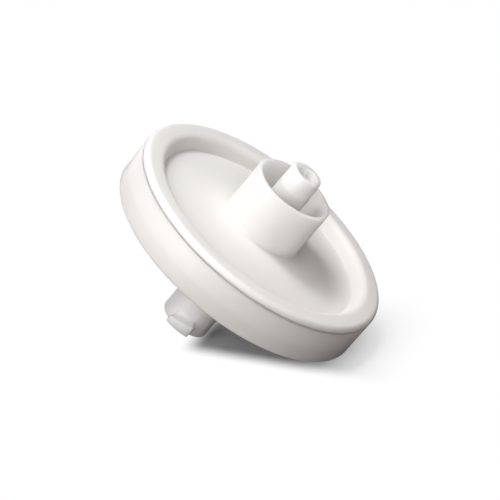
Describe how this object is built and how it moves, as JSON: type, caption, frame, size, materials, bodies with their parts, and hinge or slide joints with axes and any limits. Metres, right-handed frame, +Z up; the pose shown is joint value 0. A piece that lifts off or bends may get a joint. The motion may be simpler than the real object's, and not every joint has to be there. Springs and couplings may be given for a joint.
{
  "type": "syringe filter",
  "caption": "Disc-shaped filter unit for the end of a syringe: a lugged inlet socket behind, a collared tapered outlet tip in front and a membrane sealed between the moulded halves.",
  "frame": {"origin": "centre of the bounding box at its base, the surface that the filter lies on: the rim of the disc and the inlet socket's mouth both touch it", "axes": "+Y runs level along a diameter of the disc, +Z is up, +X completes them; the filter's own axis lies in the XZ plane and points along (0.607, 0, 0.794), from the inlet socket towards the outlet tip"},
  "size_m": [0.0292, 0.033, 0.024],
  "materials": {
    "white_polypropylene": "semi-gloss moulded, opaque white",
    "natural_polypropylene": "semi-gloss moulded, translucent natural white",
    "membrane_film": "matt porous film"
  },
  "bodies": {
    "root": {"outlet_half": "white_polypropylene", "inlet_half": "natural_polypropylene", "filter_membrane": "membrane_film"}
  },
  "joints": []
}
